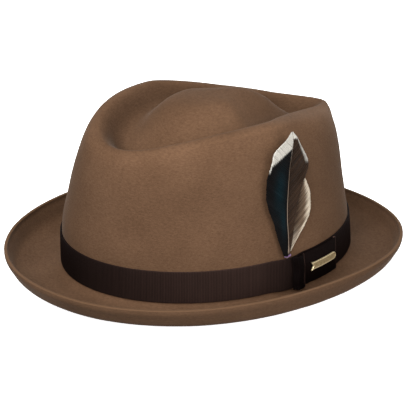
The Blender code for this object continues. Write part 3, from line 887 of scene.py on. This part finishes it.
def barb_blade():
    """One barb of unit length along +X: a thin blade that curves towards +Y and tapers to its tip."""
    ring = [(0.0, 0.5, 0.0), (0.0, 0.0, 0.5), (0.0, -0.5, 0.0), (0.0, 0.0, -0.5)]
    points, faces, reach = [], [], []
    for step in range(BARB_RINGS):
        share = step / (BARB_RINGS - 1)
        slim = (1 - BLADE_TAPER * share**2.5) * between(BLADE_ROOT, 1, min(share * 6, 1))
        rise = BARB_CURVE * CURVE_SPAN * (share**2 - share)
        for _, wide, thick in ring:
            points.append((share, rise + wide * BARB_WIDTH * slim, thick * BARB_THICKNESS * slim))
            reach.append(share)
        if step:
            for side in range(4):
                onward, this = (side + 1) % 4, (step - 1) * 4
                faces.append((this + side, this + 4 + side, this + 4 + onward, this + onward))
    faces.append((0, 1, 2, 3))
    faces.append(tuple((BARB_RINGS - 1) * 4 + side for side in (3, 2, 1, 0)))
    return points, faces, reach


def barb_tree():
    """Grows a barb on each root point of a feather, aimed, faced and stretched as the point says."""
    sockets = {
        "Quill": "NodeSocketGeometry",
        "Barb": "NodeSocketObject",
        "Spread": "NodeSocketFloat",
        "Seed": "NodeSocketInt",
        "Finish": "NodeSocketMaterial",
    }
    tree, given = start_tree("feather_barbs", sockets, "Feather")
    chosen = {"Geometry": given["Quill"], "Selection": told(tree, "root", "BOOLEAN")}
    parted = add_node(tree, "GeometryNodeSeparateGeometry", chosen, domain="POINT")
    barb = add_node(tree, "GeometryNodeObjectInfo", {"Object": given["Barb"], "As Instance": True})
    ones = add_node(tree, "FunctionNodeInputVector", {}, vector=(1, 1, 1))
    most = scaled(tree, ones.outputs["Vector"], given["Spread"])
    apart = {0: scaled(tree, most, -1.0), 1: most, "Seed": given["Seed"]}
    fanned = add_node(tree, "FunctionNodeRandomValue", apart, data_type="FLOAT_VECTOR")
    course = {0: told(tree, "aim", "FLOAT_VECTOR"), 1: fanned.outputs[0]}
    aimed = add_node(tree, "ShaderNodeVectorMath", course, operation="ADD")
    axes = {"Primary Axis": aimed.outputs["Vector"], "Secondary Axis": told(tree, "facing", "FLOAT_VECTOR")}
    turned = add_node(tree, "FunctionNodeAxesToRotation", axes, primary_axis="X", secondary_axis="Z")
    size = add_node(tree, "ShaderNodeCombineXYZ", {"X": told(tree, "stretch"), "Y": 1.0, "Z": 1.0})
    growing = {
        "Points": parted.outputs["Selection"],
        "Instance": barb.outputs["Geometry"],
        "Rotation": turned.outputs["Rotation"],
        "Scale": size.outputs["Vector"],
    }
    barbs = add_node(tree, "GeometryNodeInstanceOnPoints", growing)
    joined = add_node(tree, "GeometryNodeJoinGeometry", {"Geometry": barbs.outputs["Instances"]})
    tree.links.new(parted.outputs["Inverted"], joined.inputs["Geometry"])
    end_tree(tree, joined.outputs["Geometry"], given["Finish"])
    return tree


def plumage(name, roughness, gloss):
    """Feather: its painted colour in fine streaks, with a faint gloss."""
    material, tree, place = start_material(name)
    streak = ranged(tree, grained(tree, place, 1300, 3), 0.72, 1.28)
    shaded = scaled(tree, stored(tree, "tint", "Color"), streak)
    finish(tree, Base_Color=shaded, Roughness=roughness, Specular_IOR_Level=gloss)
    return material


def linear(*colour):
    """Linear light of a colour given as on a screen, 0 to 255."""
    share = np.array(colour) / 255
    return np.where(share <= 0.04045, share / 12.92, ((share + 0.055) / 1.055) ** 2.4)


BARB_TREE = barb_tree()
blade_points, blade_faces, blade_reach = barb_blade()


def grow_feather(name, rows, length, width, sway, lift, side, barbs, seed, material):
    """A quill tube with barbs on both sides, each running from the quill up to the vane's outline."""
    random = np.random.default_rng(seed)
    start = side * QUILL_SPACING / 2

    def on_quill(share):
        return start + smooth_column(rows, "sway", share) * sway

    share = np.linspace(-QUILL_TUCK / length, QUILL_END, QUILL_STEPS)
    pointed = np.clip((QUILL_TIP_AT - share) * QUILL_TIP_SLOPE, QUILL_TIP, 1.0)
    core = QUILL_RADIUS * np.minimum(1.0, QUILL_TAPER - share) * pointed
    core = core * (1 - QUILL_SLIM * eased((share * length - BINDING_HEIGHT) / QUILL_SLIM_OVER))
    turn = np.arange(QUILL_SIDES) * math.tau / QUILL_SIDES
    tube = []
    for step, radius_here in zip(share, core):
        up = step * length
        aside = on_quill(np.array([max(step, 0.0)]))[0] + radius_here * np.cos(turn)
        raise_by = radius_here * np.sin(turn) + QUILL_CLEARANCE
        if up < 0:
            tube.append(in_pocket(up, aside, raise_by))
        else:
            lifted = smooth_column(rows, "lift", step) * lift * min(up / QUILL_RISE, 1)
            tube.append(off_quills(up, aside, lifted + raise_by))
    points = list(np.array(tube).reshape(-1, 3))
    faces = []
    for ring in range(QUILL_STEPS - 1):
        for corner in range(QUILL_SIDES):
            onward, this = (corner + 1) % QUILL_SIDES, ring * QUILL_SIDES
            above = this + QUILL_SIDES
            faces.append((this + corner, this + onward, above + onward, above + corner))
    faces.append(tuple(reversed(range(QUILL_SIDES))))
    faces.append(tuple((QUILL_STEPS - 1) * QUILL_SIDES + corner for corner in range(QUILL_SIDES)))
    tube_points = len(points)
    lowest, first = rows[0].along, rows[0].along + FIRST_BARB
    roots, ends, facing, shares = [], [], [], []
    for vane, sign in (("fore", -1), ("aft", 1)):
        edge = np.linspace(first, 1.0, barbs) + random.normal(0, EDGE_RAGGED, barbs)
        reach = smooth_column(rows, vane, edge) * width
        reach = reach * (1 + random.normal(0, REACH_RAGGED, barbs))
        root = np.maximum(edge - BARB_SWEEP * reach / length, lowest + BARB_CROWDING * (edge - lowest))
        layer = (np.arange(barbs) % 3 - 1) * BARB_THICKNESS * BARB_LAYER
        root_lift = smooth_column(rows, "lift", root) * lift
        edge_lift = smooth_column(rows, "lift", edge) * lift
        roots.append(off_quills(root * length, on_quill(root) + sign * BARB_ROOT_OFF, root_lift + layer))
        ruffle = random.normal(0, BARB_RUFFLE, barbs)
        ends.append(off_quills(edge * length, on_quill(edge) + sign * reach, edge_lift + layer + ruffle))
        facing.append(np.tile(quill_away * sign, (barbs, 1)) + random.normal(0, BARB_TURN, (barbs, 3)))
        shares.append(edge)
    roots, ends, facing = np.concatenate(roots), np.concatenate(ends), np.concatenate(facing)
    aim = ends - roots
    stretch = np.linalg.norm(aim, axis=1)
    aim = aim / stretch[:, None]
    piece = add_piece(name, points + list(roots), faces, material)
    count = tube_points + len(roots)
    is_root = [False] * tube_points + [True] * len(roots)
    piece.data.attributes.new("root", "BOOLEAN", "POINT").data.foreach_set("value", is_root)
    for word, values in (("aim", aim), ("facing", facing)):
        whole = np.zeros((count, 3), dtype=np.float32)
        whole[tube_points:] = values
        piece.data.attributes.new(word, "FLOAT_VECTOR", "POINT").data.foreach_set("vector", whole.ravel())
    keep_number(piece, "stretch", np.concatenate([np.zeros(tube_points), stretch]))
    keep_number(piece, "tone", np.concatenate([np.zeros(tube_points), random.uniform(-1, 1, len(roots))]))
    keep_number(piece, "vane", np.concatenate([np.zeros(tube_points), np.repeat([-1.0, 1.0], barbs)]))
    blade = add_piece("barb_blade", blade_points, blade_faces, material)
    keep_number(blade, "reach", blade_reach)
    grow(piece, BARB_TREE, Barb=blade, Spread=BARB_SPREAD, Seed=seed, Finish=material)
    bpy.data.objects.remove(blade, do_unlink=True)
    return piece


def read_numbers(piece, name):
    values = np.zeros(len(piece.data.vertices), dtype=np.float32)
    piece.data.attributes[name].data.foreach_get("value", values)
    return values


def in_feather_space(piece):
    """How far up the quills and how far to the rear each point of a feather lies."""
    flat = np.zeros(len(piece.data.vertices) * 3, dtype=np.float32)
    piece.data.vertices.foreach_get("co", flat)
    from_foot = flat.reshape(-1, 3) - quill_foot
    return from_foot @ quill_upward, from_foot @ quill_rearward


def paint(piece, colour):
    whole = np.concatenate([np.clip(colour, 0, 1), np.ones((len(colour), 1))], axis=1).astype(np.float32)
    piece.data.attributes.new("tint", "FLOAT_COLOR", "POINT").data.foreach_set("color", whole.ravel())


def mixed(low, high, share):
    return between(low, high, share[:, None])


sizes = (FRONT_FEATHER_LENGTH, FRONT_FEATHER_WIDTH, FRONT_FEATHER_SWAY, FRONT_FEATHER_LIFT)
dark_plumage = plumage("dark_feather", 0.50, 0.05)
front_barbs = (-1, BARBS_EACH_SIDE, FRONT_SEED, dark_plumage)
front_feather = grow_feather("front_feather", FRONT_FEATHER, *sizes, *front_barbs)
up, aside = in_feather_space(front_feather)
vane, reach, tone = (read_numbers(front_feather, word) for word in ("vane", "reach", "tone"))
sway = smooth_column(FRONT_FEATHER, "sway", up / FRONT_FEATHER_LENGTH) * FRONT_FEATHER_SWAY
middle = sway - QUILL_SPACING / 2
black, teal = linear(8, 6, 6), linear(8, 25, 30)
brown, light_brown = linear(24, 15, 9), linear(52, 37, 26)
white, quill_pale = linear(195, 191, 182), linear(108, 94, 82)
# Painted teal iridescent sheen on the black front vane, in soft spots
painted_iridescence = np.zeros_like(up)
for spot in PAINTED_IRIDESCENCE_SPOTS:
    from_middle = ((up - spot.up) / spot.tall) ** 2 + ((middle - aside - spot.before) / spot.wide) ** 2
    painted_iridescence += spot.strength * np.exp(-from_middle)
colour = mixed(black, teal, np.clip(painted_iridescence * (1 + IRIDESCENCE_SPREAD * tone), 0, 1))
tip_line = TIP_LINE + (aside - middle) * TIP_SLANT
colour = mixed(colour, white, eased((up - tip_line) / TIP_BLUR))
left_edge = eased((reach - FORE_EDGE) / FORE_EDGE_BLUR) * eased((up - WHITE_FROM) / FORE_WHITE_BLUR)
colour = mixed(colour, white, left_edge)
streaked = mixed(brown, light_brown, np.clip(0.45 + 0.40 * tone + 0.35 * (reach - 0.5), 0, 1))
white_edge = eased((reach - AFT_EDGE) / AFT_EDGE_BLUR) * eased((up - WHITE_FROM) / AFT_WHITE_BLUR)
white_edge = np.maximum(white_edge, eased((up - AFT_TIP - AFT_TIP_RAGGED * tone) / AFT_TIP_BLUR))
streaked = mixed(streaked, white, white_edge)
colour = np.where((vane > 0)[:, None], streaked, colour)
quill_colour = mixed(quill_pale, white, eased((up - QUILL_WHITE_FROM) / QUILL_WHITE_BLUR))
colour = np.where((vane == 0)[:, None], quill_colour, colour)
paint(front_feather, colour)
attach(front_feather, "root")
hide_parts("feather_front")

# Rear feather
# A smaller and softer feather, brown at its quill and pale at its foot and edges, is tucked behind the ribbon
# beside the front one and shows behind it.

REAR_FEATHER_LENGTH = 0.0520
REAR_FEATHER_WIDTH = 0.0135
REAR_FEATHER_SWAY = 0.0175
REAR_FEATHER_LIFT = 0.0003
REAR_BARBS_EACH_SIDE = 300
REAR_SEED = 11
PALE_FOOT = 0.0210
PALE_FOOT_BLUR = 0.0160
PALE_FOOT_SHARE = 0.45
PALE_EDGE = 0.60
PALE_EDGE_RAGGED = 0.12
PALE_EDGE_BLUR = 0.36
REAR_FEATHER = [
    Barb(0.06, 0.00, 0.10, 0.10, 0.00),
    Barb(0.17, 0.11, 0.25, 0.37, 0.00),
    Barb(0.30, 0.29, 0.45, 0.70, 0.00),
    Barb(0.43, 0.46, 0.55, 1.00, 0.00),
    Barb(0.53, 0.60, 0.60, 1.00, 0.20),
    Barb(0.73, 0.83, 0.55, 0.78, 0.50),
    Barb(0.88, 0.94, 0.38, 0.44, 0.80),
    Barb(1.00, 1.00, 0.06, 0.06, 1.00),
]

sizes = (REAR_FEATHER_LENGTH, REAR_FEATHER_WIDTH, REAR_FEATHER_SWAY, REAR_FEATHER_LIFT)
pale_plumage = plumage("pale_feather", 0.60, 0.05)
rear_barbs = (1, REAR_BARBS_EACH_SIDE, REAR_SEED, pale_plumage)
rear_feather = grow_feather("rear_feather", REAR_FEATHER, *sizes, *rear_barbs)
up, aside = in_feather_space(rear_feather)
vane, reach, tone = (read_numbers(rear_feather, word) for word in ("vane", "reach", "tone"))
cream, tan, dun = linear(194, 181, 162), linear(108, 89, 72), linear(50, 37, 28)
colour = mixed(dun, tan, np.clip(reach * 1.1 + 0.35 * tone, 0, 1))
pale_edge = eased((reach - PALE_EDGE + PALE_EDGE_RAGGED * tone) / PALE_EDGE_BLUR)
colour = mixed(colour, cream, pale_edge)
pale_foot = PALE_FOOT_SHARE * eased((PALE_FOOT - up) / PALE_FOOT_BLUR) * (1 + 0.6 * tone)
colour = mixed(colour, cream, pale_foot)
colour = np.where((vane == 0)[:, None], linear(70, 54, 43), colour)
paint(rear_feather, colour)
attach(rear_feather, "root")
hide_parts("feather_rear")

# Quill binding
# Purple thread is wound round both quills, just above the ribbon, and holds the feathers together.

THREAD_TURNS = 4
THREAD_STEPS = 40


def thread_tree():
    """Lays a round thread along a line of points."""
    sockets = {
        "Line": "NodeSocketGeometry",
        "Thread Radius": "NodeSocketFloat",
        "Thread Sides": "NodeSocketInt",
        "Finish": "NodeSocketMaterial",
    }
    tree, given = start_tree("wound_thread", sockets, "Thread")
    line = add_node(tree, "GeometryNodeMeshToCurve", {"Mesh": given["Line"]})
    round_section = {"Radius": given["Thread Radius"], "Resolution": given["Thread Sides"]}
    section = add_node(tree, "GeometryNodeCurvePrimitiveCircle", round_section).outputs["Curve"]
    along = {"Curve": line.outputs["Curve"], "Profile Curve": section, "Fill Caps": True}
    end_tree(tree, add_node(tree, "GeometryNodeCurveToMesh", along).outputs["Mesh"], given["Finish"])
    return tree


def purple_thread():
    """Dyed thread: purple, paler and darker along its twist."""
    material, tree, place = start_material("purple_thread")
    colour = toned(tree, grained(tree, place, 2600), (0.090, 0.035, 0.110), (0.250, 0.130, 0.290))
    finish(tree, Base_Color=colour, Roughness=0.70, Sheen_Weight=0.30)
    return material


count = THREAD_TURNS * THREAD_STEPS + 1
share = np.linspace(0, 1, count)
turn = share * THREAD_TURNS * math.tau + math.pi / 2
around = QUILL_RADIUS + CLEARANCE + BINDING / 2
aside = np.tanh(np.cos(turn) * 4) * QUILL_SPACING / 2 + around * np.cos(turn)
climb = CLEARANCE + BINDING / 2 + share * (BINDING_HEIGHT - BINDING)
line = off_quills(climb, aside, around * np.sin(turn))
binding_mesh = bpy.data.meshes.new("quill_binding")
onward = [(step, step + 1) for step in range(count - 1)]
binding_mesh.from_pydata([tuple(point) for point in line], onward, [])
binding = bpy.data.objects.new("quill_binding", binding_mesh)
bpy.context.scene.collection.objects.link(binding)
thread = purple_thread()
grow(binding, thread_tree(), Thread_Radius=BINDING / 2, Thread_Sides=8, Finish=thread)
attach(binding, "root")
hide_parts("feather_binding")

# Studio
# The hat lies on a glowing white table in a white room, between soft boxes at its front, left and right and
# weaker ones above and behind. The table gives no light of its own to the hat.

CAMERA_AZIMUTH = 50.0
CAMERA_ELEVATION = 21.4
CAMERA_DISTANCE = 1.500
LENS = 200.0
SENSOR = 36.0
ROOM_GLOW = 0.24
TABLE_GLOW = 0.85
TARGET = Vector((0.0, 0.002, 0.0545))
TARGET_RIGHT = -0.00235
TARGET_DOWN = 0.01635
TABLE_REACH = 6.0
TABLE_LEVEL = -0.001


Lamp = namedtuple("Lamp", "name size power azimuth elevation distance")
LAMPS = [
    Lamp("left_softbox", 1.3, 28.5, 2.0, 48.0, 1.8),
    Lamp("right_softbox", 1.6, 24.0, 98.0, 18.0, 1.8),
    Lamp("front_softbox", 0.9, 25.0, 46.0, 24.0, 1.8),
    Lamp("overhead_softbox", 1.2, 8.0, 40.0, 78.0, 1.6),
    Lamp("back_softbox", 1.2, 12.0, 225.0, 24.0, 1.8),
]


def white_paper():
    material, tree, place = start_material("white_paper")
    shade = toned(tree, grained(tree, place, 40), (0.93, 0.93, 0.93), (0.95, 0.95, 0.95))
    finish(tree, Base_Color=shade, Roughness=1.0, Specular_IOR_Level=0.0)
    finish(tree, Emission_Color=(1.0, 1.0, 1.0, 1.0), Emission_Strength=TABLE_GLOW)
    return material


def seen_from(azimuth, elevation):
    """The direction from the hat to a place round it. 0 is its front, and 90 the wearer's left."""
    turn, rise = math.radians(azimuth), math.radians(elevation)
    return Vector((math.sin(turn) * math.cos(rise), -math.cos(turn) * math.cos(rise), math.sin(rise)))


def put(thing, place, away):
    """Puts a lamp or the camera at a place, with its back to a direction."""
    thing.location = place
    thing.rotation_mode = "QUATERNION"
    thing.rotation_quaternion = away.to_track_quat("Z", "Y")
    bpy.context.scene.collection.objects.link(thing)


corners = [(-1, -1), (1, -1), (1, 1), (-1, 1)]
points = [(x * TABLE_REACH, y * TABLE_REACH, TABLE_LEVEL) for x, y in corners]
floor = add_piece("table_top", points, [(0, 1, 2, 3)], white_paper(), smooth=False)
floor.visible_diffuse = False
for row in LAMPS:
    light = bpy.data.lights.new(row.name, "AREA")
    light.shape = "DISK"
    light.size = row.size
    light.energy = row.power
    lamp = bpy.data.objects.new(row.name, light)
    away = seen_from(row.azimuth, row.elevation)
    put(lamp, TARGET + away * row.distance, away)
world = bpy.data.worlds.new("white_studio")
world.use_nodes = True
world.node_tree.nodes["Background"].inputs["Color"].default_value = (1.0, 1.0, 1.0, 1.0)
world.node_tree.nodes["Background"].inputs["Strength"].default_value = ROOM_GLOW
bpy.context.scene.world = world
bpy.context.scene.view_settings.view_transform = "Standard"

camera_data = bpy.data.cameras.new("camera")
camera_data.lens = LENS
camera_data.sensor_width = SENSOR
camera = bpy.data.objects.new("camera", camera_data)
back, right = seen_from(CAMERA_AZIMUTH, CAMERA_ELEVATION), seen_from(CAMERA_AZIMUTH + 90, 0)
aim = TARGET + right * TARGET_RIGHT - back.cross(right) * TARGET_DOWN
put(camera, aim + back * CAMERA_DISTANCE, back)
bpy.context.scene.camera = camera
